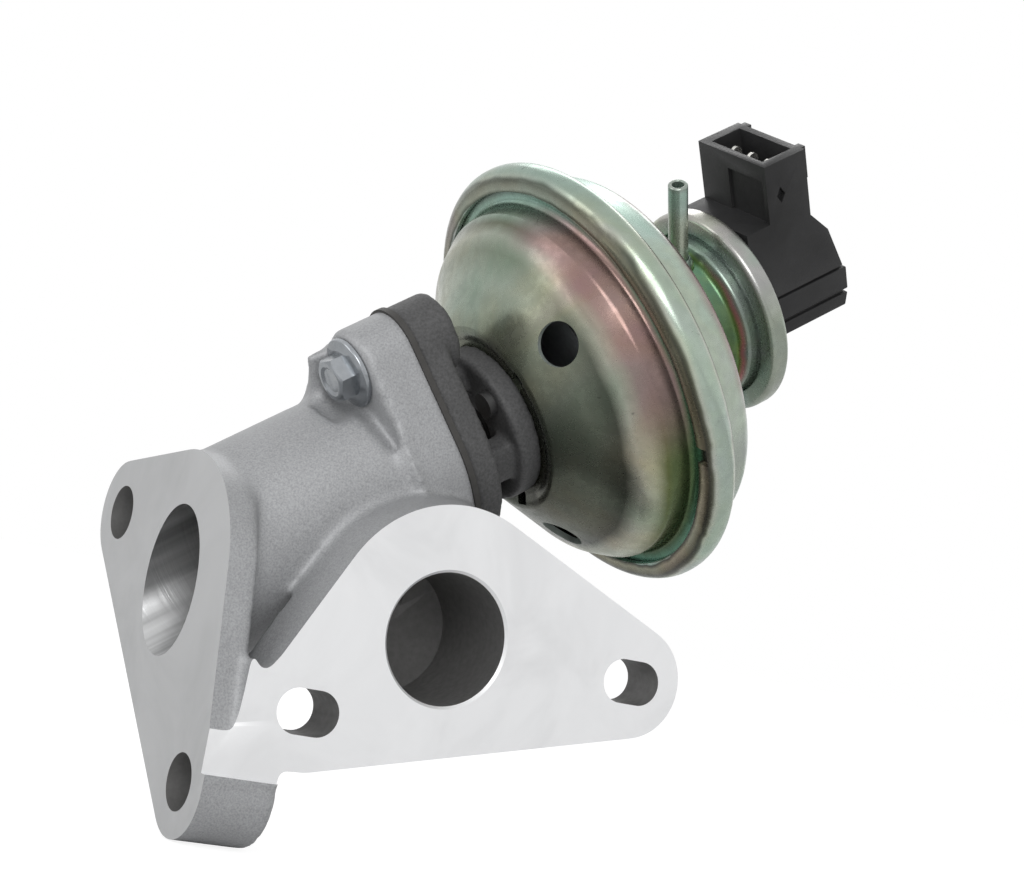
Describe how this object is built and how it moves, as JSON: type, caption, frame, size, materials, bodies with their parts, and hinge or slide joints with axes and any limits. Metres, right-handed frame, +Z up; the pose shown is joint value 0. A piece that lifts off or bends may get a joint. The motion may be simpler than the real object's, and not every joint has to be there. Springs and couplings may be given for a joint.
{
  "type": "vacuum operated egr valve",
  "caption": "Exhaust gas recirculation valve: cast body with two flanges, poppet on a stem lifted by a vacuum can, and a lift sensor with a plug.",
  "frame": {"origin": "centre of the front port on the front flange's machined face", "axes": "+X to the right along the front face, +Y into the housing from the front face, +Z up; the valve stem lies in a plane of constant Y and rises 35 degrees from +X towards +Z"},
  "size_m": [0.1349, 0.0896, 0.1586],
  "materials": {
    "cast_aluminium": "sand cast and shot blasted, machined on the faces",
    "valve_steel": "turned",
    "dark_iron": "dark coated cast iron",
    "gasket_steel": "embossed sheet",
    "zinc_passivated": "zinc plated with iridescent passivation",
    "zinc_bright": "bright zinc plated",
    "bronze": "sintered bronze",
    "rubber": "moulded fluorocarbon rubber",
    "spring_steel": "drawn wire",
    "black_plastic": "moulded glass filled nylon",
    "pale_plastic": "moulded acetal",
    "ceramic": "fired resistor card",
    "tinned": "tinned contact"
  },
  "bodies": {
    "valve_body": {"housing": "cast_aluminium", "valve_seat": "valve_steel", "flange_gasket": "gasket_steel", "flange_bolts": "zinc_bright", "yoke": "dark_iron", "guide_bush": "bronze", "soot_shield": "valve_steel", "stem_seal": "rubber", "lower_shell": "zinc_passivated", "shell_rivets": "zinc_bright", "upper_shell": "zinc_passivated", "vacuum_nipple": "zinc_passivated", "diaphragm": "rubber", "return_spring": "spring_steel", "sensor_ring": "zinc_passivated", "o_ring": "rubber", "sensor_housing": "black_plastic", "sensor_cover": "black_plastic", "terminal_pins": "tinned", "resistor_board": "ceramic", "sensor_spring": "spring_steel"},
    "valve_train": {"valve_stem": "valve_steel", "valve_disc": "valve_steel", "lower_plate": "zinc_bright", "upper_plate": "zinc_bright", "stem_nut": "zinc_bright"},
    "sensor_rod": {"sensor_plunger": "pale_plastic", "wiper": "pale_plastic"}
  },
  "joints": [
    {"name": "valve_lift", "type": "slide", "parent": "valve_body", "child": "valve_train", "axis": [0.8192, 0, 0.5736], "range_m": [0, 0.006], "stiffness_N_per_m": 4000, "springref_m": -0.008, "deforming": ["diaphragm", "return_spring"]},
    {"name": "sensor_slide", "type": "slide", "parent": "valve_body", "child": "sensor_rod", "axis": [0.8192, 0, 0.5736], "range_m": [0, 0.006], "stiffness_N_per_m": 150, "springref_m": -0.01, "deforming": ["sensor_spring"]}
  ],
  "couplings": [
    {"joint": "sensor_slide", "follows": "valve_lift", "ratio": 1}
  ]
}
